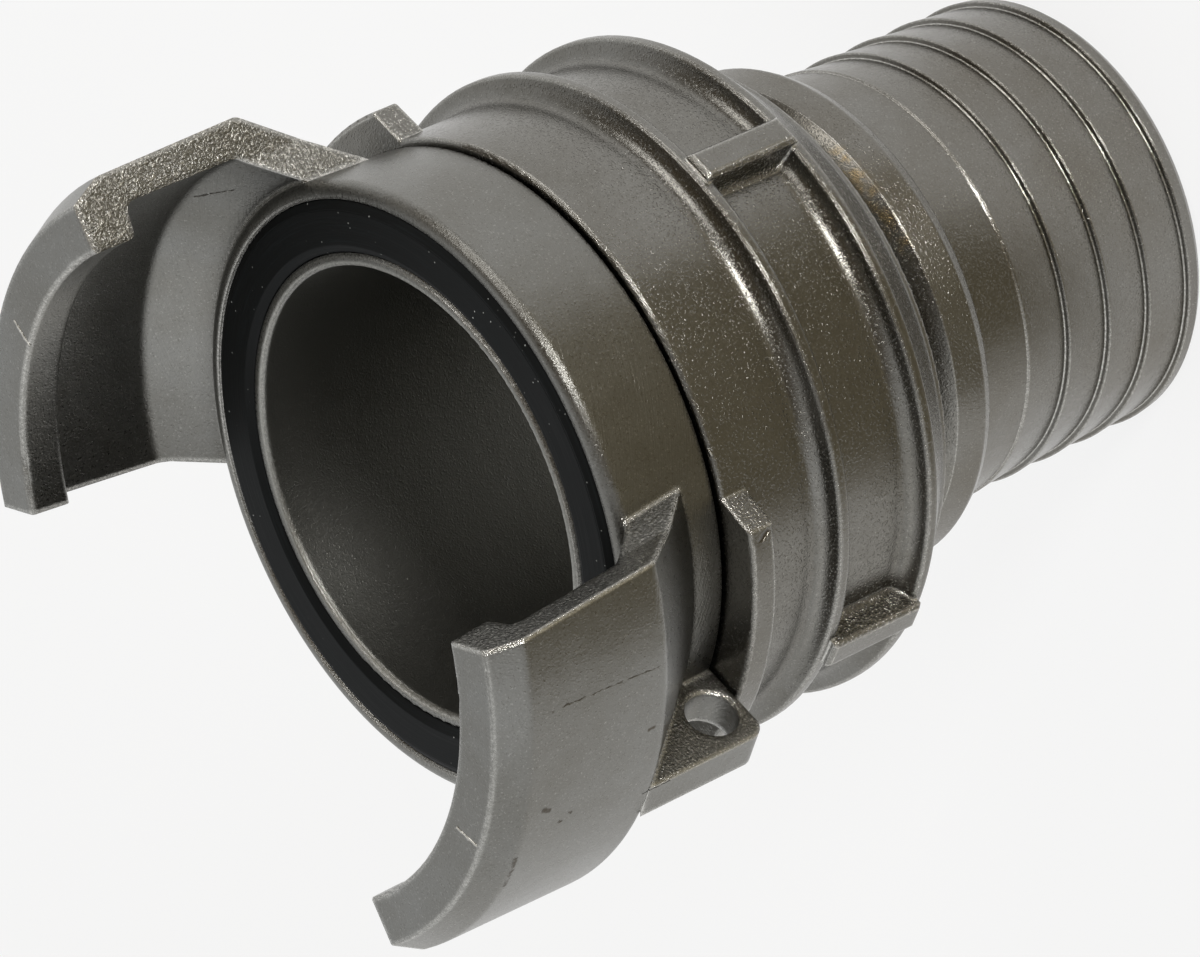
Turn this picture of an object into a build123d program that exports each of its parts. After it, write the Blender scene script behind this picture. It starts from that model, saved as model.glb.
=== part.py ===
from build123d import *
import os
from math import cos, pi, radians, sin

# Quarter turn hose coupling with a locking ring and a barbed hose tail.
# Millimetres, +Z up. The coupling stands on the end of its hose tail, with the origin
# at the centre of that end. Its axis is Z, and one claw and the tether tab point to +X.

# Waterway and hose tail
hose_bore = 102.0            # inside diameter of the hose that the tail is made for
barb_stretch = 1.0           # how far a barb's crest stretches the hose, on the radius
barb_depth = 1.3             # height of one barb's step
barb_pitch = 12.5
barb_count = 5
barb_crest_round = 0.35
tail_end_margin = 4.5        # from the end of the tail to the last barb's step
tail_end_chamfer = 1.6
tail_wall = 3.2              # metal left under a barb's foot
tail_run = 70.3              # from the end of the tail to the shoulder that stops the hose
shoulder_wall = 8.3          # how far the shoulder stands above the hose's inside radius
shoulder_back = 4.7          # from the hose stop to the shoulder's crest
shoulder_band = 6.8          # cast band between the crest and the turned edge
shoulder_draft = 1.6         # fall of the cast band towards the turned edge
shoulder_round = 1.2
stop_round = 2.4
relief_depth = 4.5           # depth of the turned cone in front of the shoulder
relief_length = 6.5          # turned relief between the cone and the neck's end

# Claw body
thread_depth = 3.18          # step from the tail's relief up to its thread
thread_clearance = 0.12
thread_wall = 3.5            # neck metal outside the tail's thread
thread_length = 20.5         # engagement of the tail in the neck
gasket_seat = 4.1            # width of the neck's shoulder that the tail's gasket meets
lip_wall = 2.9               # metal between the waterway and the seal's recess
lip_round = 0.7
seal_width = 12.2            # radial width of the seal's recess
seal_recess_depth = 12.0
rim_width = 4.0              # collar metal outside the recess
rim_round = 2.4
collar_length = 26.5
collar_draft = 0.9           # fall of the collar's radius from front to back
neck_set_back = 0.5          # from the ring's back face to the neck's end
neck_chamfer = 0.8

# Claws, in the section through one claw. Heights are from the collar's face.
claw_count = 2
claw_tip_half_angle = 34.0
claw_root_half_angle = 37.2   # at the collar's face
claw_foot_half_angle = 41.0   # where the flank's gusset meets the collar
claw_reach = 49.5
claw_stand = 18.5            # how far the claws stand outside the collar
claw_outer_draft = 0.7       # fall of the outer radius towards the tip
claw_wall = 8.2
claw_tip_chamfer = 4.0       # its width on the radius
claw_tip_chamfer_length = 7.5
claw_tip_round = 0.8
hook_round = 1.6
hook_height = 7.6            # how far the hook reaches in from the claw's wall
hook_thickness = 10.3
hook_slope = 1.0
hook_root_round = 2.4
flank_outer_start = 6.5      # height where the outer flank leaves the claw's wall
flank_inner_start = 10.0
flank_foot_drop = 18.6       # how far the outer flank's foot runs back along the collar
flank_inner_drop = 2.6
flank_round = 3.0
gusset_height = 8.5          # how far the gussets reach out from the collar
gusset_head = 2.3            # what is left of their spread at the claw's wall, in degrees

# Tether tab
tab_thickness = 9.3
tab_hole = 12.1
tab_hole_from_edge = 9.4     # from the tab's outer edge to the hole's centre
tab_hole_from_back = 7.7     # from the tab's back edge to the hole's centre
tab_corner_round = 3.6

# Locking ring. Distances along it are from its front face.
ring_clearance = 0.1         # on the radius, between the ring's lands and the neck
ring_play = 0.7              # between the ring's front face and the collar
ring_length = 68.3
ring_land_wall = 12.0        # ring metal outside the neck, at the ring's front
ring_wall = 5.4              # the same between the lands
ring_waist_swell = 0.3       # how much larger the ring is between its two ribs
ring_back_fall = 5.5         # from the ring's front down to the foot of its back cone
ring_front_round = 0.8
ring_back_round = 2.0
ring_back_edge = 1.6         # cylinder between the back cone and the back face
front_land = 14.5
back_land = 8.0
land_chamfer = 4.0
rib_height = 5.0
rib_1_crest = 2.8
rib_2_crest = 2.2
rib_flank = 1.4
rib_front_round = 4.2
rib_back_round = 2.4
rib_crest_round = 0.75
rib_1_from_front = 27.0
rib_2_from_back = 15.5       # from the ring's back face
ring_rest_angle = -2.5       # how far the ring stands turned from the claws

# Ramps that pull the other coupling's claws in
ramp_count = 2
ramp_height = 7.5
ramp_half_angle = 38.2       # at the ring's surface
ramp_end_slope = 4.7         # how much shorter the ramp is at its top, in degrees
ramp_thin = 7.6
ramp_rise = 1.7

# Spanner lugs between the ribs
lug_count = 4
lug_width = 7.4
lug_stand = 2.0              # above the ribs' crests
lug_edge_round = 0.8
lug_foot_round = 2.4
lug_foot_sink = 0.5          # how far the foot's edge lies inside the ring

# Retaining wire between the ring and the neck
wire_diameter = 4.0
wire_gap = 8.0               # split in the wire
wire_from_front = 8.8        # from the ring's front face to the wire's centre
groove_clearance = 0.1

# Seals
seal_stand = 0.8             # face seal above the collar's face
seal_clearance = 0.1
seal_bevel = 2.0             # width of the sloping edges of its face
seal_bevel_depth = 1.2
seal_edge_round = 0.6
gasket_thickness = 2.5
gasket_margin = 0.4

# Radii that follow
hose_radius = hose_bore / 2
barb_crest_radius = hose_radius + barb_stretch
barb_foot_radius = barb_crest_radius - barb_depth
tail_bore_radius = barb_foot_radius - tail_wall
shank_radius = barb_crest_radius - 0.3 * barb_depth
shoulder_radius = hose_radius + shoulder_wall
shoulder_edge_radius = shoulder_radius - shoulder_draft
relief_radius = shoulder_edge_radius - relief_depth
spigot_radius = relief_radius + thread_depth
thread_radius = spigot_radius + thread_clearance
neck_radius = thread_radius + thread_wall
bore_radius = thread_radius - gasket_seat
lip_radius = bore_radius + lip_wall
recess_radius = lip_radius + seal_width
collar_radius = recess_radius + rim_width
claw_outer_radius = collar_radius + claw_stand
claw_inner_radius = claw_outer_radius - claw_wall
hook_radius = claw_inner_radius - hook_height
land_radius = neck_radius + ring_clearance
ring_radius = land_radius + ring_land_wall
ring_relief_radius = ring_radius - ring_wall
ring_waist_radius = ring_radius + ring_waist_swell
ring_back_radius = ring_radius - ring_back_fall
rib_radius = ring_waist_radius + rib_height
ramp_radius = ring_radius + ramp_height
lug_radius = rib_radius + lug_stand
wire_radius = wire_diameter / 2
wire_centre_radius = land_radius

# Heights that follow, from the end of the tail up
crest_z = tail_run + shoulder_back
edge_z = crest_z + shoulder_band
relief_z = edge_z + relief_depth
neck_end_z = relief_z + relief_length
ring_back_z = neck_end_z + neck_set_back
ring_front_z = ring_back_z + ring_length
collar_back_z = ring_front_z + ring_play
face_z = collar_back_z + collar_length
spigot_top_z = neck_end_z + thread_length
inner_shoulder_z = spigot_top_z + gasket_thickness
wire_z = ring_front_z - wire_from_front
overlap = 1.0                # how far joined forms run into each other


def section(corners):
    """A face in the XZ plane from corners (radius, height, rounding)."""
    face = make_face(Polyline(*[(r, z) for r, z, _ in corners], close=True))
    for r, z, rounding in corners:
        if rounding:
            corner = face.vertices().sort_by_distance((r, z, 0))[0]
            face = fillet(corner, rounding)
    return Plane.XZ * face


def turned(corners):
    return revolve(section(corners), Axis.Z)


def turned_part(corners, half_angle):
    """The section turned through half_angle to each side of +X."""
    return revolve(Rot(0, 0, -half_angle) * section(corners), Axis.Z, 2 * half_angle)


def around(solid, count):
    return [Rot(0, 0, 360 * i / count) * solid for i in range(count)]


def polar(radius, angle):
    return (radius * cos(radians(angle)), radius * sin(radians(angle)))


def fan(z, inner, outer):
    """A face at height z around +X. Each of its two sides runs from the point inner to
    the point outer, both (radius, angle), and then straight out."""
    side = [polar(*inner), polar(*outer), polar(2 * outer[0], outer[1])]
    mirrored = [(x, -y) for x, y in reversed(side)]
    return Pos(0, 0, z) * make_face(Polyline(*side, *mirrored, close=True))


def claw():
    top = face_z + claw_reach
    hook_back = top - hook_thickness
    foot_z = face_z - flank_foot_drop
    inner_foot_z = face_z - flank_inner_drop
    root = collar_radius - rim_width / 2
    tip_radius = claw_outer_radius - claw_outer_draft
    wall_start = face_z + flank_inner_start
    corners = [
        (root, foot_z, 0),
        (collar_radius - collar_draft, foot_z, 0),
        (claw_outer_radius, face_z + flank_outer_start, flank_round),
        (tip_radius, top - claw_tip_chamfer_length, flank_round),
        (tip_radius - claw_tip_chamfer, top, claw_tip_round),
        (hook_radius, top, claw_tip_round),
        (hook_radius, hook_back, hook_round),
        (claw_inner_radius, hook_back - hook_slope, hook_root_round),
        (claw_inner_radius, wall_start, flank_round),
        (collar_radius - seal_clearance, inner_foot_z, 0),
        (root, inner_foot_z, 0),
    ]
    hook = turned_part(corners, claw_foot_half_angle + 1)
    taper = (claw_root_half_angle - claw_tip_half_angle) / claw_reach

    def half_angle(z):
        return claw_root_half_angle - taper * (z - face_z)

    def outline(z, inner_angle):
        return fan(z, (root, inner_angle), (collar_radius + gusset_height, half_angle(z)))

    low = foot_z - overlap
    above = wall_start + overlap
    high = top + overlap
    ends = loft([
        outline(low, claw_foot_half_angle),
        outline(wall_start, half_angle(wall_start) + gusset_head),
        outline(above, half_angle(above)),
        outline(high, half_angle(high)),
    ], ruled=True)
    return hook & ends


def tether_tab():
    inner = collar_radius - rim_width / 2
    profile = section([
        (inner, collar_back_z, 0),
        (claw_outer_radius, collar_back_z, tab_corner_round),
        (claw_outer_radius, face_z + flank_outer_start, 0),
        (inner, face_z - flank_foot_drop / 2, 0),
    ])
    plate = extrude(profile, tab_thickness)
    hole_x = claw_outer_radius - tab_hole_from_edge
    hole_z = collar_back_z + tab_hole_from_back
    hole = Pos(hole_x, 0, hole_z) * Rot(90, 0, 0) * Cylinder(tab_hole / 2, 3 * tab_thickness)
    return plate, hole


def claw_body():
    neck = [
        (bore_radius, inner_shoulder_z, 0),
        (thread_radius, inner_shoulder_z, 0),
        (thread_radius, neck_end_z, neck_chamfer),
        (neck_radius, neck_end_z, neck_chamfer),
        (neck_radius, wire_z - wire_radius - groove_clearance, 0),
        (neck_radius - wire_diameter - groove_clearance,
         wire_z - wire_radius - groove_clearance, 0),
        (neck_radius - wire_diameter - groove_clearance,
         wire_z + wire_radius + groove_clearance, 0),
        (neck_radius, wire_z + wire_radius + groove_clearance, 0),
        (neck_radius, collar_back_z, 0),
    ]
    collar = [
        (collar_radius - collar_draft, collar_back_z, 0.6),
        (collar_radius, face_z, rim_round),
        (recess_radius, face_z, 0.4),
        (recess_radius, face_z - seal_recess_depth, 0.4),
        (lip_radius, face_z - seal_recess_depth, 0.4),
        (lip_radius, face_z, lip_round),
        (bore_radius, face_z, lip_round),
    ]
    body = turned(neck + collar)
    plate, hole = tether_tab()
    for one in around(claw(), claw_count):
        body += one
    return body + plate - hole


def face_seal():
    floor_z = face_z - seal_recess_depth
    inner = lip_radius + seal_clearance
    outer = recess_radius - seal_clearance
    top = face_z + seal_stand
    return turned([
        (inner, floor_z, seal_edge_round),
        (outer, floor_z, seal_edge_round),
        (outer, top - seal_bevel_depth, seal_edge_round),
        (outer - seal_bevel, top, seal_edge_round),
        (inner + seal_bevel, top, seal_edge_round),
        (inner, top - seal_bevel_depth, seal_edge_round),
    ])


def ramp():
    """A helical wedge on the ring's front edge. Its back face falls away from the
    front face by ramp_rise from one end to the other."""
    root = ring_radius - ring_wall / 2
    wide = ramp_half_angle
    narrow = ramp_half_angle - ramp_end_slope
    blank_angle = wide + ramp_end_slope
    front = ring_front_z
    flat = turned_part([
        (root, front - ramp_thin + overlap, 0),
        (ramp_radius, front - ramp_thin + overlap, 0.6),
        (ramp_radius, front, 0.8),
        (root, front, 0),
    ], blank_angle)
    # the swept block's back face is the helical one
    rise_per_degree = ramp_rise / (2 * ramp_half_angle)
    sweep_angle = 2 * blank_angle
    fall = rise_per_degree * sweep_angle
    mean_radius = (root + ramp_radius) / 2
    start_back = front - ramp_thin + rise_per_degree * (blank_angle - ramp_half_angle)
    height = ramp_thin / 2
    path = Helix(360 * rise_per_degree, fall, mean_radius, lefthand=True,
                 direction=(0, 0, -1))
    block = Plane(origin=path @ 0, x_dir=(1, 0, 0), z_dir=(0, -1, 0)) * Rectangle(
        ramp_radius - root, height)
    wedge = sweep(block, path, is_frenet=True)
    wedge = Rot(0, 0, blank_angle) * Pos(0, 0, start_back + height / 2) * wedge
    low = front - ramp_thin - 2 * fall
    plan = fan(low, (ring_radius, wide), (ramp_radius, narrow))
    return (flat + wedge) & extrude(plan, front + overlap - low)


def lug():
    top_z = ring_front_z - rib_1_from_front - rib_1_crest / 2
    low_z = ring_back_z + rib_2_from_back - rib_2_crest / 2
    root = ring_radius - ring_wall / 2
    half = lug_width / 2
    foot = half + lug_foot_round
    side = [(root, foot), (ring_waist_radius - lug_foot_sink, foot),
            (ring_waist_radius, half), (lug_radius, half)]
    mirrored = [(x, -y) for x, y in reversed(side)]
    plan = make_face(Polyline(*side, *mirrored, close=True))
    corners = plan.vertices()
    feet = [corners.sort_by_distance((ring_waist_radius, y, 0))[0] for y in (half, -half)]
    plan = fillet(feet, lug_foot_round)
    block = Pos(0, 0, low_z) * extrude(plan, top_z - low_z)
    crown = block.edges().group_by(Axis.X)[-1]
    return chamfer(crown, lug_edge_round)


def locking_ring():
    front = ring_front_z
    back = ring_back_z
    groove_top = wire_z + wire_radius + groove_clearance
    groove_low = wire_z - wire_radius - groove_clearance
    groove_radius = wire_centre_radius + wire_radius + groove_clearance
    rib_1 = front - rib_1_from_front
    rib_2 = back + rib_2_from_back
    corners = [
        (land_radius, back, 0.6),
        (ring_back_radius, back, 0.6),
        (ring_back_radius, back + ring_back_edge, ring_back_round),
        (rib_radius, rib_2 - rib_2_crest, rib_crest_round),
        (rib_radius, rib_2, rib_crest_round),
        (ring_waist_radius, rib_2 + rib_flank, rib_front_round),
        (ring_waist_radius, rib_1 - rib_1_crest - rib_flank, rib_back_round),
        (rib_radius, rib_1 - rib_1_crest, rib_crest_round),
        (rib_radius, rib_1, rib_crest_round),
        (ring_radius, rib_1 + rib_flank, rib_front_round),
        (ring_radius, front, ring_front_round),
        (land_radius, front, 0.6),
        (land_radius, groove_top, 0),
        (groove_radius, groove_top, 0),
        (groove_radius, groove_low, 0),
        (land_radius, groove_low, 0),
        (land_radius, front - front_land, 0),
        (ring_relief_radius, front - front_land - land_chamfer, 0),
        (ring_relief_radius, back + back_land + land_chamfer, 0),
        (land_radius, back + back_land, 0),
    ]
    ring = turned(corners)
    for one in around(ramp(), ramp_count) + around(lug(), lug_count):
        ring += one
    bore_tool = Pos(0, 0, (front + back) / 2) * Cylinder(land_radius, ring_length * 2)
    return Rot(0, 0, ring_rest_angle) * (ring - bore_tool)


def retaining_wire():
    circle = Plane.XZ * Pos(wire_centre_radius, wire_z) * Circle(wire_radius)
    gap_angle = 360 * wire_gap / (2 * pi * wire_centre_radius)
    return Rot(0, 0, 180 + gap_angle / 2) * revolve(circle, Axis.Z, 360 - gap_angle)


def tail_gasket():
    inner = bore_radius + gasket_margin
    outer = thread_radius - gasket_margin
    return turned([
        (inner, spigot_top_z, 0),
        (outer, spigot_top_z, 0),
        (outer, inner_shoulder_z, 0),
        (inner, inner_shoulder_z, 0),
    ])


def barbs():
    """Corners of the barbs from the tail's end up. Each barb has its step towards the
    shoulder and tapers towards the end."""
    corners = [
        (barb_crest_radius - tail_end_chamfer, 0, 0),
        (barb_crest_radius - barb_depth * 0.3, tail_end_chamfer, 0.8),
    ]
    for i in range(barb_count):
        step_z = tail_end_margin + i * barb_pitch
        above = shank_radius if i == barb_count - 1 else barb_foot_radius
        corners.append((barb_crest_radius, step_z, barb_crest_round))
        corners.append((above, step_z + barb_depth * 0.25, 0))
    return corners


def hose_tail():
    cone_end_z = neck_end_z
    inner_top = bore_radius - 0.8
    return turned([
        (tail_bore_radius, 0, 0.8),
        *barbs(),
        (shank_radius, tail_run, stop_round),
        (shoulder_radius - 1.5, tail_run + shoulder_back * 0.4, 1.0),
        (shoulder_radius, crest_z, shoulder_round),
        (shoulder_edge_radius, edge_z, 0),
        (relief_radius, relief_z, 0),
        (relief_radius, neck_end_z + overlap, 0),
        (spigot_radius, neck_end_z + overlap + spigot_radius - relief_radius, 0),
        (spigot_radius, spigot_top_z, 0.5),
        (inner_top, spigot_top_z, 0),
        (tail_bore_radius, cone_end_z, 6.0),
    ])


parts = {
    "claw_body": claw_body,
    "face_seal": face_seal,
    "locking_ring": locking_ring,
    "retaining_wire": retaining_wire,
    "hose_tail": hose_tail,
    "tail_gasket": tail_gasket,
}

os.makedirs("parts", exist_ok=True)
for name, make in parts.items():
    export_step(make(), f"parts/{name}.step")
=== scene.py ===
import bpy
from mathutils import Matrix, Vector

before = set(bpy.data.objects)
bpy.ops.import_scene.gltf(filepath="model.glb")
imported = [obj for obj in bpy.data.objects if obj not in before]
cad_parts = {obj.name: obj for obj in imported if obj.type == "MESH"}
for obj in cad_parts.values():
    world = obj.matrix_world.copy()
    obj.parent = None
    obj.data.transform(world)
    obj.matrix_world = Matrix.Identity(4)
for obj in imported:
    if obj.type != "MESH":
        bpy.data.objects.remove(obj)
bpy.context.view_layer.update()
print("frame loaded:", ", ".join(sorted(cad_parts)))

millimetres = 1000.0     # in a metre


def linearColour(hexCode):
    # an sRGB hex colour as the linear values that a socket takes
    parts = [int(hexCode[i:i + 2], 16) / 255 for i in (1, 3, 5)]
    return [p / 12.92 if p <= 0.04045 else ((p + 0.055) / 1.055) ** 2.4 for p in parts] + [1.0]


def addNode(tree, kind, settings=None, links=None):
    # adds a node, sets its properties or input values, and links its inputs
    node = tree.nodes.new("ShaderNode" + kind)
    for name, value in (settings or {}).items():
        if isinstance(name, str) and hasattr(node, name):
            setattr(node, name, value)
        else:
            node.inputs[name].default_value = value
    for socket, source in (links or {}).items():
        tree.links.new(source, node.inputs[socket])
    return node


def fade(start, full, most=1.0):
    # settings of a map range that rises from 0 at start to most at full
    return {"From Min": start, "From Max": full, "To Max": most}


def softFade(start, full, most=1.0):
    # the same, easing in and out
    return {"interpolation_type": "SMOOTHSTEP", **fade(start, full, most)}


def newMaterial(name):
    material = bpy.data.materials.new(name)
    material.use_nodes = True
    return material, material.node_tree, material.node_tree.nodes["Principled BSDF"]


# Studio. Directions are those of the camera, so the light falls as in the photograph.
studio = {
    "lens": 210.36, "sensor": 36.0,      # millimetres
    "clip": (0.05, 60.0),
    "cameraPlace": (0.67402561, 1.08757274, 0.99759654),
    "cameraRight": (0.61852345, 0.21562822, -0.75560122),
    "cameraUp": (-0.65731091, 0.66888443, -0.34718293),
    "cameraBack": (0.43054746, 0.71140571, 0.55545549),
    "middleHeight": 0.12,                # of the object, where the lamps point
    "floorColour": "#f6f6f5",
    "floorSize": 12.0,
    "floorRoughness": 0.9,
    "floorGlow": 0.80,                   # share of plain white that camera and reflections see
    "skyBright": "#eceef0",
    "skyDark": "#6a604f",                # the dim warm room behind the photographer
    "skyLow": (-0.15, -0.65),            # how far below the camera's level it turns bright
    "skyBeyond": (0.25, -0.35),          # and how far beyond the object
    "skyStrength": 1.0,
}

# each lamp: place as right, up and back of the object's middle, its size and its power
lamps = {
    "topSoftbox": {"place": (-0.3, 1.25, -0.9), "size": (1.3, 0.6), "power": 19},
    "lowBounce": {"place": (0.0, -1.4, 0.5), "size": (1.6, 0.5), "power": 1.0},
    "keyLamp": {"place": (0.33, 0.66, 1.5), "size": (0.32, 0.32), "power": 11.5},
    "sideLamp": {"place": (-0.8, 0.9, 1.0), "size": (0.9, 0.5), "power": 6},
}


def makeCamera():
    turn = Matrix([studio[k] for k in ("cameraRight", "cameraUp", "cameraBack")]).transposed()
    lensData = bpy.data.cameras.new("photoCamera")
    lensData.sensor_width = studio["sensor"]
    lensData.lens = studio["lens"]
    lensData.clip_start, lensData.clip_end = studio["clip"]
    camera = bpy.data.objects.new("photoCamera", lensData)
    bpy.context.scene.collection.objects.link(camera)
    camera.matrix_world = Matrix.Translation(studio["cameraPlace"]) @ turn.to_4x4()
    bpy.context.scene.camera = camera


def makeLamps():
    right, up, back = (Vector(studio[k]) for k in ("cameraRight", "cameraUp", "cameraBack"))
    middle = Vector((0.0, 0.0, studio["middleHeight"]))
    for name, lamp in lamps.items():
        light = bpy.data.lights.new(name, "AREA")
        light.shape = "RECTANGLE"
        light.size, light.size_y = lamp["size"]
        light.energy = lamp["power"]
        holder = bpy.data.objects.new(name, light)
        bpy.context.scene.collection.objects.link(holder)
        toRight, above, behind = lamp["place"]
        away = right * toRight + up * above + back * behind
        turn = away.to_track_quat("Z", "Y").to_matrix().to_4x4()
        holder.matrix_world = Matrix.Translation(away + middle) @ turn
        holder.visible_camera = False


def makeSky():
    world = bpy.data.worlds.new("softStudio")
    world.use_nodes = True
    bpy.context.scene.world = world
    tree = world.node_tree
    coords = addNode(tree, "TexCoord")
    parts = []
    for direction, reach in (("cameraUp", "skyLow"), ("cameraBack", "skyBeyond")):
        side = addNode(tree, "VectorMath", {"operation": "DOT_PRODUCT", 1: studio[direction]},
                       {0: coords.outputs["Generated"]})
        parts.append(addNode(tree, "MapRange", softFade(*studio[reach]),
                             {"Value": side.outputs["Value"]}).outputs[0])
    bright = addNode(tree, "Math", {"operation": "MAXIMUM"}, {0: parts[0], 1: parts[1]})
    colour = addNode(tree, "Mix", {"data_type": "RGBA", 6: linearColour(studio["skyDark"]),
                                   7: linearColour(studio["skyBright"])},
                     {"Factor": bright.outputs[0]})
    sky = tree.nodes["Background"]
    tree.links.new(colour.outputs[2], sky.inputs["Color"])
    sky.inputs["Strength"].default_value = studio["skyStrength"]


def makeFloor():
    bpy.ops.mesh.primitive_plane_add(size=studio["floorSize"])
    floor = bpy.context.object
    floor.name = "studioFloor"
    paper, tree, shader = newMaterial("whiteStudioPaper")
    shader.inputs["Base Color"].default_value = linearColour(studio["floorColour"])
    shader.inputs["Roughness"].default_value = studio["floorRoughness"]
    path = addNode(tree, "LightPath")
    seen = addNode(tree, "Math", {"operation": "MAXIMUM"},
                   {0: path.outputs["Is Camera Ray"], 1: path.outputs["Is Glossy Ray"]})
    seen = addNode(tree, "Math", {"operation": "MAXIMUM"},
                   {0: seen.outputs[0], 1: path.outputs["Is Transmission Ray"]})
    share = addNode(tree, "Math", {"operation": "MULTIPLY", 1: studio["floorGlow"]},
                    {0: seen.outputs[0]})
    white = addNode(tree, "Emission", {"Strength": 1.0})
    mix = addNode(tree, "MixShader", None,
                  {0: share.outputs[0], 1: shader.outputs[0], 2: white.outputs[0]})
    tree.links.new(mix.outputs[0], tree.nodes["Material Output"].inputs["Surface"])
    floor.data.materials.append(paper)


# A warm card on the floor beside the object, outside the picture, gives the metal something
# dark to reflect. It starts softly between two distances along each line.
card = {
    "colour": "#a39a82", "size": 4.0, "roughness": 0.9,
    "place": (1.2, 1.2, 0.0005),         # just above the floor
    "edges": [{"line": (0.943, 0.3336, 0.0), "from": 0.064, "to": 0.105},
              {"line": (0.0, 1.0, 0.0), "from": -0.03, "to": 0.06}],
}


def makeCard():
    bpy.ops.mesh.primitive_plane_add(size=card["size"], location=card["place"])
    sheet = bpy.context.object
    sheet.name = "warmCard"
    felt, tree, shader = newMaterial("warmGreyFelt")
    shader.inputs["Base Color"].default_value = linearColour(card["colour"])
    shader.inputs["Roughness"].default_value = card["roughness"]
    spot = addNode(tree, "NewGeometry")
    cover = []
    for edge in card["edges"]:
        side = addNode(tree, "VectorMath", {"operation": "DOT_PRODUCT", 1: edge["line"]},
                       {0: spot.outputs["Position"]})
        cover.append(addNode(tree, "MapRange", softFade(edge["from"], edge["to"]),
                             {"Value": side.outputs["Value"]}).outputs[0])
    both = addNode(tree, "Math", {"operation": "MINIMUM"}, {0: cover[0], 1: cover[1]})
    clear = addNode(tree, "BsdfTransparent")
    mix = addNode(tree, "MixShader", None,
                  {0: both.outputs[0], 1: clear.outputs[0], 2: shader.outputs[0]})
    tree.links.new(mix.outputs[0], tree.nodes["Material Output"].inputs["Surface"])
    sheet.data.materials.append(felt)
    # only reflections show it: like the lamps it stays out of every picture
    sheet.visible_camera = sheet.visible_diffuse = sheet.visible_shadow = False


makeCamera()
makeLamps()
makeSky()
makeFloor()
makeCard()
bpy.context.scene.view_settings.view_transform = "Standard"
print("studio made")


def placeOnPiece(tree):
    # the place on the piece in millimetres, with its height along the waterway, and its
    # distance and angle round it
    coords = addNode(tree, "TexCoord")
    place = addNode(tree, "VectorMath", {"operation": "SCALE", "Scale": millimetres},
                    {0: coords.outputs["Object"]}).outputs[0]
    parts = addNode(tree, "SeparateXYZ", None, {0: place})
    flat = addNode(tree, "VectorMath", {"operation": "MULTIPLY", 1: (1, 1, 0)}, {0: place})
    radius = addNode(tree, "VectorMath", {"operation": "LENGTH"}, {0: flat.outputs[0]})
    angle = addNode(tree, "Math", {"operation": "ARCTAN2"},
                    {0: parts.outputs["Y"], 1: parts.outputs["X"]})
    return {"place": place, "height": parts.outputs["Z"], "radius": radius.outputs["Value"],
            "angle": angle.outputs[0]}


# Sizes in a look are millimetres on the piece, and a mark runs from start to end. The grain
# of the real casting is about 0.2 mm, too fine to show here, so it is drawn at 0.4 to 0.5 mm.
# in this look and the two after it, the darkest tone is painted shade for the hollows, with a
# strength to match
bodyLook = {
    # the edge tone on the next line is wear and painted highlight; the pale tones on the line
    # after are painted glints, the grains' also grain tone
    "metal": "#81807c", "stain": "#76746e", "hollowShadeTone": "#2b2822", "wornAndHighlit": "#d2d0ca",
    "grainGlintTone": "#cfcdc7", "pit": "#55524b", "glintWhite": "#f4f1ea",
    "stainSize": 26.0, "grainSize": 0.5, "grainDepth": 0.06, "endGrain": 0.28,
    "beadSize": 0.6, "beadDepth": 0.02, "swellSize": 7.0, "swellDepth": 0.12,
    "roughness": 0.29, "edgeRound": 2.0, "grime": 0.6,
    "scratches": 0.05, "collarRadius": 67.5, "collarFace": 197.0,
    "boreRadius": 53.6, "boreMetal": "#8c8b85",
    "marks": [
        # a crack in the skin of the rear claw's flank, and one along the front claw
        {"start": (-76.0, 26.5, 197.2), "end": (-69.3, 32.6, 192.6), "width": 0.30,
         "depth": -0.20, "tone": "#4a453d"},
        {"start": (82.3, 34.7, 228.4), "end": (83.4, 33.8, 197.2), "width": 0.28,
         "depth": -0.12, "tone": "#4f4a42", "broken": True},
        # short ridges left where the mould halves met
        {"start": (-80.2, 2.9, 238.3), "end": (-74.3, 0.9, 238.2), "width": 0.55,
         "depth": 0.40, "tone": "#cfcbc2"},
        {"start": (77.9, -0.6, 238.3), "end": (84.1, 0.2, 238.3), "width": 0.55,
         "depth": 0.40, "tone": "#cfcbc2"},
        # pits and specks
        {"start": (88.9, 9.9, 226.3), "end": (89.0, 9.0, 224.9), "width": 1.0,
         "depth": -0.10, "tone": "#4d473e"},
        {"start": (87.8, 19.2, 199.4), "end": (87.8, 19.3, 198.0), "width": 0.6,
         "depth": -0.08, "tone": "#575148"},
        {"start": (89.4, 5.2, 218.6), "end": (89.4, 5.0, 218.1), "width": 0.5,
         "depth": -0.10, "tone": "#4a443a"},
        {"start": (89.4, 3.6, 220.9), "end": (89.4, 3.5, 220.3), "width": 0.5,
         "depth": -0.10, "tone": "#4a443a"},
        # a bruise along the front claw's chamfer, and the seam beside the tab
        {"start": (89.0, -3.0, 230.6), "end": (88.0, -13.0, 230.4), "width": 0.7,
         "depth": -0.25, "tone": "#57524a"},
        {"start": (89.9, -0.6, 197.0), "end": (89.9, -0.6, 189.5), "width": 0.3,
         "depth": -0.25, "tone": "#1d1a16"},
    ],
}

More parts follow.
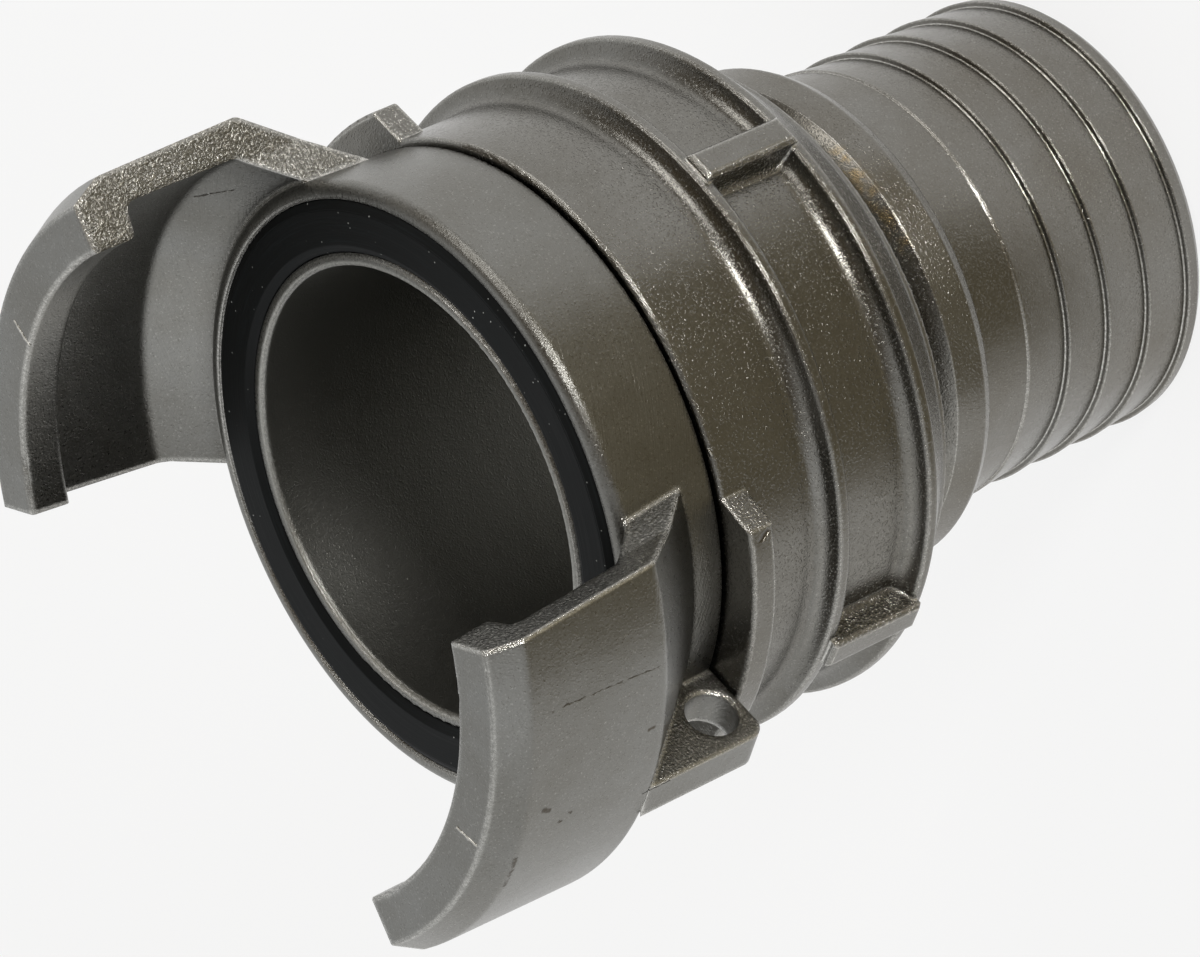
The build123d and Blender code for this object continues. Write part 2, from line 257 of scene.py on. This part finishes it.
ringLook = {
    # the edge tone on the next line is wear and painted highlight; the pale tones on the line
    # after are painted glints, the grains' also grain tone
    "metal": "#807e79", "stain": "#716e67", "hollowShadeTone": "#2a261f", "wornAndHighlit": "#d2d0c9",
    "grainGlintTone": "#cfcdc6", "pit": "#524e46", "glintWhite": "#f4f1ea",
    "stainSize": 30.0, "grainSize": 0.45, "grainDepth": 0.05, "endGrain": 0.28,
    "beadSize": 0.6, "beadDepth": 0.05, "swellSize": 6.0, "swellDepth": 0.08,
    "roughness": 0.23, "edgeRound": 1.3, "grime": 0.5,
    "scratches": 0.0, "boreRadius": 0.0, "boreMetal": "#8c8b85",
    "marks": [
        # a flash across the front rib, and dings on the ramp and the ring's front edge
        {"start": (2.4, 72.9, 139.0), "end": (2.7, 76.8, 135.4), "width": 0.8,
         "depth": 0.35, "tone": "#8b8578"},
        {"start": (69.6, 38.9, 158.6), "end": (68.9, 39.9, 156.6), "width": 0.9,
         "depth": -0.40, "tone": "#5a554b"},
        {"start": (51.1, 50.4, 161.6), "end": (51.9, 49.6, 161.2), "width": 0.6,
         "depth": 0.30, "tone": "#cfcbc2"},
        {"start": (24.9, 67.4, 161.6), "end": (26.6, 66.8, 161.2), "width": 0.5,
         "depth": 0.25, "tone": "#cfcbc2"},
    ],
}

tailLook = {
    # the edge tone on the next line is wear and painted highlight; the pale tones on the line
    # after are painted glints, the grains' also grain tone
    "metal": "#817f7a", "stain": "#736f67", "hollowShadeTone": "#2b2720", "wornAndHighlit": "#d4d2cb",
    "grainGlintTone": "#d0cec7", "pit": "#545048", "glintWhite": "#f4f1ea",
    "stainSize": 30.0, "grainSize": 0.42, "grainDepth": 0.045, "endGrain": 0.0,
    "beadSize": 0.55, "beadDepth": 0.035, "swellSize": 6.0, "swellDepth": 0.07,
    "roughness": 0.23, "edgeRound": 0.7, "grime": 0.2,
    "scratches": 0.0, "boreRadius": 48.2, "boreMetal": "#8c8b85",
    "marks": [
        # rust that has run round the cone from the neck's end
        {"start": (1.5, 55.8, 83.6), "end": (12.0, 54.4, 83.9), "width": 4.5,
         "depth": 0.0, "tone": "#81745c", "broken": True},
        {"start": (16.0, 53.6, 83.2), "end": (25.8, 50.2, 83.1), "width": 3.0,
         "depth": 0.0, "tone": "#84775e", "broken": True},
    ],
}

# What the castings share. A pair says where a pattern starts and where it is full, and a
# third value how strong it gets. Noise lies between 0 and 1, mostly near 0.5, and its scale
# is the number of its waves in a millimetre.
castSkin = {
    "endFace": (0.3, 0.7),               # how far a face points along the turn
    "roundedEdge": (0.985, 0.80),             # cosine of the angle by which an edge is rounded
    "stain": (0.35, 0.70), "stainDetail": 5.0, "stainBreak": 0.65,
    "grainDetail": 2.0, "grainBreak": 0.6,
    "lumpScale": 0.75,                   # of the grain's, so lumps are a third larger
    "bead": (0.55, 0.70),
    # pale specks painted as glints: in the grains, on the end faces and along the edges
    "shine": (0.60, 0.76, 0.35),
    "bare": (0.54, 0.66, 0.40),
    "pitted": (0.44, 0.28, 0.3),
    "edgeGlintBand": (0.47, 0.58),
    # where ambient occlusion turns into painted shade, and how far it looks for hollows
    "hollow": (0.70, 0.25), "hollowReach": 5.0,
    "edgeSamples": 4, "hollowSamples": 2,
    # changes to the roughness: with the lumps, in the bore, on edges and on the painted glints of
    # the end faces
    "roughSpread": (-0.08, 0.10), "boreRough": 0.12, "edgeRough": -0.12, "endGlintRough": -0.10,
    # the flap wheel's marks: their waves in a radian and in a millimetre, the millimetres
    # that they slant in a radian, and how far from the collar they end
    "wheelRound": 6.2, "wheelAlong": 2.6, "wheelSlant": 24.0, "sideFade": 0.5, "faceFade": 1.0,
    "wobble": 0.9, "wobbleScale": 0.9,
    "patch": (0.42, 0.60), "patchScale": 0.35,
    "markCore": 0.3,                     # share of a mark's width that is at full strength
}


def makeCastSteel(name, look):
    # Cast stainless steel, shot blasted and pickled. It gives a satin grey metal with a fine
    # bright grain, coarser on the faces that were cut free of the gates. Its palest grains, the
    # specks on those faces and its edges carry painted glints and highlights, and its hollows
    # carry painted shade.
    material, tree, shader = newMaterial(name)
    shader.inputs["Metallic"].default_value = 1.0
    spot = placeOnPiece(tree)
    place = spot["place"]
    bevel = addNode(tree, "Bevel", {"samples": castSkin["edgeSamples"],
                                    "Radius": look["edgeRound"] / millimetres})
    facing = addNode(tree, "NewGeometry")

    # how far the face points along the turn, 1 on the ends of claws, ramps and lugs
    around = addNode(tree, "VectorMath", {"operation": "CROSS_PRODUCT", 1: (0, 0, 1)}, {0: place})
    around = addNode(tree, "VectorMath", {"operation": "NORMALIZE"}, {0: around.outputs[0]})
    along = addNode(tree, "VectorMath", {"operation": "DOT_PRODUCT"},
                    {0: around.outputs[0], 1: facing.outputs["Normal"]})
    along = addNode(tree, "Math", {"operation": "ABSOLUTE"}, {0: along.outputs["Value"]})
    endFace = addNode(tree, "MapRange", softFade(*castSkin["endFace"]),
                      {"Value": along.outputs[0]}).outputs[0]

    # edges lightened partly by wear from handling and partly as painted highlight, from how far
    # the bevel turns the face
    turned = addNode(tree, "VectorMath", {"operation": "DOT_PRODUCT"},
                     {0: bevel.outputs[0], 1: facing.outputs["Normal"]})
    edge = addNode(tree, "MapRange", fade(*castSkin["roundedEdge"]),
                   {"Value": turned.outputs["Value"]}).outputs[0]

    stain = addNode(tree, "TexNoise", {"Scale": 1 / look["stainSize"],
                                       "Detail": castSkin["stainDetail"],
                                       "Roughness": castSkin["stainBreak"]}, {"Vector": place})
    stain = addNode(tree, "MapRange", fade(*castSkin["stain"]), {"Value": stain.outputs[0]})
    grainKind = {"Detail": castSkin["grainDetail"], "Roughness": castSkin["grainBreak"]}
    grain = addNode(tree, "TexNoise", {"Scale": 1 / look["grainSize"], **grainKind},
                    {"Vector": place}).outputs[0]
    lumps = addNode(tree, "TexNoise", {"Scale": castSkin["lumpScale"] / look["grainSize"],
                                       **grainKind}, {"Vector": place}).outputs[0]
    swell = addNode(tree, "TexNoise", {"Scale": 1 / look["swellSize"], "Detail": 2.0},
                    {"Vector": place}).outputs[0]

    # height in millimetres
    fine = addNode(tree, "Math", {"operation": "MULTIPLY", 1: look["grainDepth"]}, {0: grain})
    rough = addNode(tree, "Math", {"operation": "MULTIPLY", 1: look["endGrain"]}, {0: lumps})
    rough = addNode(tree, "Math", {"operation": "MULTIPLY"}, {0: rough.outputs[0], 1: endFace})
    height = addNode(tree, "Math", {"operation": "ADD"}, {0: fine.outputs[0], 1: rough.outputs[0]})
    height = addNode(tree, "Math", {"operation": "MULTIPLY_ADD", 1: look["swellDepth"]},
                     {0: swell, 2: height.outputs[0]})
    # beads of the shell mould stand proud here and there, and their flanks glint
    beads = addNode(tree, "TexNoise", {"Scale": 1 / look["beadSize"], "Detail": 1.0},
                    {"Vector": place})
    beads = addNode(tree, "MapRange", softFade(*castSkin["bead"], look["beadDepth"]),
                    {"Value": beads.outputs[0]})
    height = addNode(tree, "Math", {"operation": "ADD"},
                     {0: height.outputs[0], 1: beads.outputs[0]})

    # what covers the metal: pale grains (grain tone and painted glints), painted glints on the end
    # faces, pits between the grains, the dull skin of the waterway, painted shade in the hollows,
    # and edges lightened by wear and painted highlight, with painted broken glints
    # painted glints: single grains made pale in the colour, partly grain tone as well
    shine = addNode(tree, "MapRange", fade(*castSkin["shine"]), {"Value": grain})
    # painted glints: pale specks on the end faces
    bare = addNode(tree, "MapRange", fade(*castSkin["bare"]), {"Value": lumps})
    bare = addNode(tree, "Math", {"operation": "MULTIPLY"}, {0: bare.outputs[0], 1: endFace})
    pitted = addNode(tree, "MapRange", fade(*castSkin["pitted"]), {"Value": lumps})
    inside = addNode(tree, "Math", {"operation": "LESS_THAN", 1: look["boreRadius"]},
                     {0: spot["radius"]})
    # painted shade: the colour darkens where ambient occlusion finds hollows and gaps between
    # parts
    hollow = addNode(tree, "AmbientOcclusion", {"samples": castSkin["hollowSamples"],
                                                "Distance": castSkin["hollowReach"] / millimetres})
    grime = addNode(tree, "MapRange", fade(*castSkin["hollow"], look["grime"]),
                    {"Value": hollow.outputs["AO"]})
    # painted glints: broken pale specks along the edges
    chips = addNode(tree, "MapRange", fade(*castSkin["edgeGlintBand"]), {"Value": lumps})
    chips = addNode(tree, "Math", {"operation": "MULTIPLY"}, {0: chips.outputs[0], 1: edge})

    colour = addNode(tree, "Mix", {"data_type": "RGBA", 6: linearColour(look["metal"]),
                                   7: linearColour(look["stain"])}, {"Factor": stain.outputs[0]})
    # the pale layers are painted glints, and the edge tone is wear with painted highlight
    layers = [("grainGlintTone", shine.outputs[0]), ("glintWhite", bare.outputs[0]),
              ("pit", pitted.outputs[0]), ("boreMetal", inside.outputs[0]),
              ("hollowShadeTone", grime.outputs[0]), ("wornAndHighlit", edge), ("glintWhite", chips.outputs[0])]
    for tone, cover in layers:
        colour = addNode(tree, "Mix", {"data_type": "RGBA", 7: linearColour(look[tone])},
                         {"Factor": cover, 6: colour.outputs[2]})

    if look["scratches"]:
        # short marks of a flap wheel, slanting round the collar
        arc = addNode(tree, "Math", {"operation": "MULTIPLY", 1: castSkin["wheelRound"]},
                      {0: spot["angle"]})
        slant = addNode(tree, "Math", {"operation": "MULTIPLY_ADD", 1: castSkin["wheelSlant"]},
                        {0: spot["angle"], 2: spot["height"]})
        slant = addNode(tree, "Math", {"operation": "MULTIPLY", 1: castSkin["wheelAlong"]},
                        {0: slant.outputs[0]})
        wheel = addNode(tree, "CombineXYZ", None, {0: arc.outputs[0], 1: slant.outputs[0]})
        wheel = addNode(tree, "TexNoise", {"noise_dimensions": "2D", "Scale": 1.0,
                                           "Detail": 1.0}, {"Vector": wheel.outputs[0]})
        side, face = look["collarRadius"], look["collarFace"]
        onSide = addNode(tree, "MapRange", fade(side - castSkin["sideFade"], side),
                         {"Value": spot["radius"]})
        belowFace = addNode(tree, "MapRange", fade(face + castSkin["faceFade"], face),
                            {"Value": spot["height"]})
        for limit in (onSide, belowFace):
            wheel = addNode(tree, "Math", {"operation": "MULTIPLY"},
                            {0: wheel.outputs[0], 1: limit.outputs[0]})
        height = addNode(tree, "Math", {"operation": "MULTIPLY_ADD", 1: look["scratches"]},
                         {0: wheel.outputs[0], 2: height.outputs[0]})

    # marks: each is a line in space, kept ragged by moving the place it is measured from
    ragged = addNode(tree, "TexNoise", {"Scale": castSkin["wobbleScale"], "Detail": 1.0},
                     {"Vector": place})
    wobble = addNode(tree, "VectorMath", {"operation": "MULTIPLY_ADD",
                                          1: (castSkin["wobble"],) * 3,
                                          2: (-castSkin["wobble"] / 2,) * 3},
                     {0: ragged.outputs["Color"]})
    wobble = addNode(tree, "VectorMath", {"operation": "ADD"}, {0: place, 1: wobble.outputs[0]})
    patches = addNode(tree, "TexNoise", {"Scale": castSkin["patchScale"], "Detail": 3.0},
                      {"Vector": place})
    patches = addNode(tree, "MapRange", fade(*castSkin["patch"]), {"Value": patches.outputs[0]})
    for mark in look["marks"]:
        start, span = Vector(mark["start"]), Vector(mark["end"]) - Vector(mark["start"])
        reach = addNode(tree, "VectorMath", {"operation": "SUBTRACT", 1: start},
                        {0: wobble.outputs[0]})
        share = addNode(tree, "VectorMath", {"operation": "DOT_PRODUCT",
                                             1: span / span.length_squared},
                        {0: reach.outputs[0]})
        share = addNode(tree, "Clamp", None, {0: share.outputs["Value"]})
        near = addNode(tree, "VectorMath", {"operation": "SCALE", 0: span},
                       {"Scale": share.outputs[0]})
        gap = addNode(tree, "VectorMath", {"operation": "DISTANCE"},
                      {0: reach.outputs[0], 1: near.outputs[0]})
        core = mark["width"] * castSkin["markCore"]
        line = addNode(tree, "MapRange", softFade(mark["width"], core),
                       {"Value": gap.outputs["Value"]})
        if mark.get("broken"):
            line = addNode(tree, "Math", {"operation": "MULTIPLY"},
                           {0: line.outputs[0], 1: patches.outputs[0]})
        colour = addNode(tree, "Mix", {"data_type": "RGBA", 7: linearColour(mark["tone"])},
                         {"Factor": line.outputs[0], 6: colour.outputs[2]})
        height = addNode(tree, "Math", {"operation": "MULTIPLY_ADD", 1: mark["depth"]},
                         {0: line.outputs[0], 2: height.outputs[0]})

    bump = addNode(tree, "Bump", {"Strength": 1.0, "Distance": 1 / millimetres},
                   {"Height": height.outputs[0], "Normal": bevel.outputs[0]})
    tree.links.new(bump.outputs[0], shader.inputs["Normal"])
    tree.links.new(colour.outputs[2], shader.inputs["Base Color"])

    least, most = (look["roughness"] + change for change in castSkin["roughSpread"])
    rub = addNode(tree, "MapRange", {"To Min": least, "To Max": most}, {"Value": lumps})
    for change, cover in (("boreRough", inside.outputs[0]), ("edgeRough", edge),
                          ("endGlintRough", bare.outputs[0])):
        rub = addNode(tree, "Math", {"operation": "MULTIPLY_ADD", 1: castSkin[change]},
                      {0: cover, 2: rub.outputs[0]})
    tree.links.new(rub.outputs[0], shader.inputs["Roughness"])
    return material


sealLook = {
    "rubber": "#070909", "bloom": "#171b1c", "dust": "#c4c7c3",
    "ior": 1.48, "specular": 0.2, "roughness": 0.58, "roughSpread": (-0.10, 0.16),
    # scuffs: their waves in a radian and in a millimetre, and the noise at which they show
    "scuffRound": 2.4, "scuffAcross": 2.2, "scuff": (0.52, 0.78, 0.8), "scuffDepth": 0.03,
    "dustSize": 2.2, "dustSpeck": 0.10, "dustDepth": 0.06,
    "dustPatch": (0.50, 0.62), "dustPatchScale": 0.12,
    "ringLine": 65.3, "lineWidth": 0.25, "lineDepth": -0.08,
}


def makeMouldedRubber(name, look):
    # Moulded black nitrile rubber. It gives a nearly black semi-matt face, with the grey
    # bloom, dust and fine round scuffs of a seal that has been used.
    material, tree, shader = newMaterial(name)
    shader.inputs["IOR"].default_value = look["ior"]
    shader.inputs["Specular IOR Level"].default_value = look["specular"]
    spot = placeOnPiece(tree)

    # scuffs that run round the seal: long in the angle, narrow in the radius
    arc = addNode(tree, "Math", {"operation": "MULTIPLY", 1: look["scuffRound"]},
                  {0: spot["angle"]})
    narrow = addNode(tree, "Math", {"operation": "MULTIPLY", 1: look["scuffAcross"]},
                     {0: spot["radius"]})
    scuff = addNode(tree, "CombineXYZ", None, {0: arc.outputs[0], 1: narrow.outputs[0]})
    scuff = addNode(tree, "TexNoise", {"noise_dimensions": "2D", "Scale": 1.0, "Detail": 3.0},
                    {"Vector": scuff.outputs[0]})
    pale = addNode(tree, "MapRange", fade(*look["scuff"]), {"Value": scuff.outputs[0]})
    colour = addNode(tree, "Mix", {"data_type": "RGBA", 6: linearColour(look["rubber"]),
                                   7: linearColour(look["bloom"])}, {"Factor": pale.outputs[0]})

    # specks of dust, in patches
    specks = addNode(tree, "TexVoronoi", {"Scale": 1 / look["dustSize"]},
                     {"Vector": spot["place"]})
    dot = addNode(tree, "MapRange", fade(look["dustSpeck"], look["dustSpeck"] / 2),
                  {"Value": specks.outputs["Distance"]})
    some = addNode(tree, "TexNoise", {"Scale": look["dustPatchScale"], "Detail": 2.0},
                   {"Vector": spot["place"]})
    some = addNode(tree, "MapRange", fade(*look["dustPatch"]), {"Value": some.outputs[0]})
    dust = addNode(tree, "Math", {"operation": "MULTIPLY"},
                   {0: dot.outputs[0], 1: some.outputs[0]})
    colour = addNode(tree, "Mix", {"data_type": "RGBA", 7: linearColour(look["dust"])},
                     {"Factor": dust.outputs[0], 6: colour.outputs[2]})
    tree.links.new(colour.outputs[2], shader.inputs["Base Color"])

    # a faint line where the mould's insert ended
    away = addNode(tree, "Math", {"operation": "SUBTRACT", 1: look["ringLine"]},
                   {0: spot["radius"]})
    away = addNode(tree, "Math", {"operation": "ABSOLUTE"}, {0: away.outputs[0]})
    line = addNode(tree, "MapRange", fade(look["lineWidth"], 0.0, look["lineDepth"]),
                   {"Value": away.outputs[0]})
    height = addNode(tree, "Math", {"operation": "MULTIPLY_ADD", 1: look["scuffDepth"]},
                     {0: scuff.outputs[0], 2: line.outputs[0]})
    height = addNode(tree, "Math", {"operation": "MULTIPLY_ADD", 1: look["dustDepth"]},
                     {0: dust.outputs[0], 2: height.outputs[0]})
    bump = addNode(tree, "Bump", {"Strength": 1.0, "Distance": 1 / millimetres},
                   {"Height": height.outputs[0]})
    tree.links.new(bump.outputs[0], shader.inputs["Normal"])
    least, most = (look["roughness"] + change for change in look["roughSpread"])
    rub = addNode(tree, "MapRange", {"To Min": least, "To Max": most},
                  {"Value": scuff.outputs[0]})
    tree.links.new(rub.outputs[0], shader.inputs["Roughness"])
    return material


wireLook = {
    "metal": "#9a9a98", "drawn": "#77777a", "lineSize": 0.2, "lineDepth": 0.03,
    "roughness": 0.26, "roughSpread": (-0.05, 0.10),
}


def makeDrawnWire(name, look):
    # Drawn stainless spring wire. It gives a smooth bright metal with long fine lines
    # of the die along it.
    material, tree, shader = newMaterial(name)
    shader.inputs["Metallic"].default_value = 1.0
    spot = placeOnPiece(tree)
    across = addNode(tree, "CombineXYZ", None, {0: spot["radius"], 1: spot["height"]})
    lines = addNode(tree, "TexNoise", {"noise_dimensions": "2D", "Scale": 1 / look["lineSize"],
                                       "Detail": 2.0}, {"Vector": across.outputs[0]})
    colour = addNode(tree, "Mix", {"data_type": "RGBA", 6: linearColour(look["metal"]),
                                   7: linearColour(look["drawn"])}, {"Factor": lines.outputs[0]})
    tree.links.new(colour.outputs[2], shader.inputs["Base Color"])
    bump = addNode(tree, "Bump", {"Strength": 1.0, "Distance": look["lineDepth"] / millimetres},
                   {"Height": lines.outputs[0]})
    tree.links.new(bump.outputs[0], shader.inputs["Normal"])
    least, most = (look["roughness"] + change for change in look["roughSpread"])
    rub = addNode(tree, "MapRange", {"To Min": least, "To Max": most},
                  {"Value": lines.outputs[0]})
    tree.links.new(rub.outputs[0], shader.inputs["Roughness"])
    return material


finishes = {
    "claw_body": makeCastSteel("blastedCastStainlessBody", bodyLook),
    "locking_ring": makeCastSteel("blastedCastStainlessRing", ringLook),
    "hose_tail": makeCastSteel("blastedCastStainlessTail", tailLook),
    "face_seal": makeMouldedRubber("mouldedBlackRubber", sealLook),
    "tail_gasket": makeMouldedRubber("mouldedGasketRubber", sealLook),
    "retaining_wire": makeDrawnWire("drawnSpringWire", wireLook),
}
for name, finish in finishes.items():
    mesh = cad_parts[name].data
    mesh.materials.clear()
    mesh.materials.append(finish)
    print("finished", name)
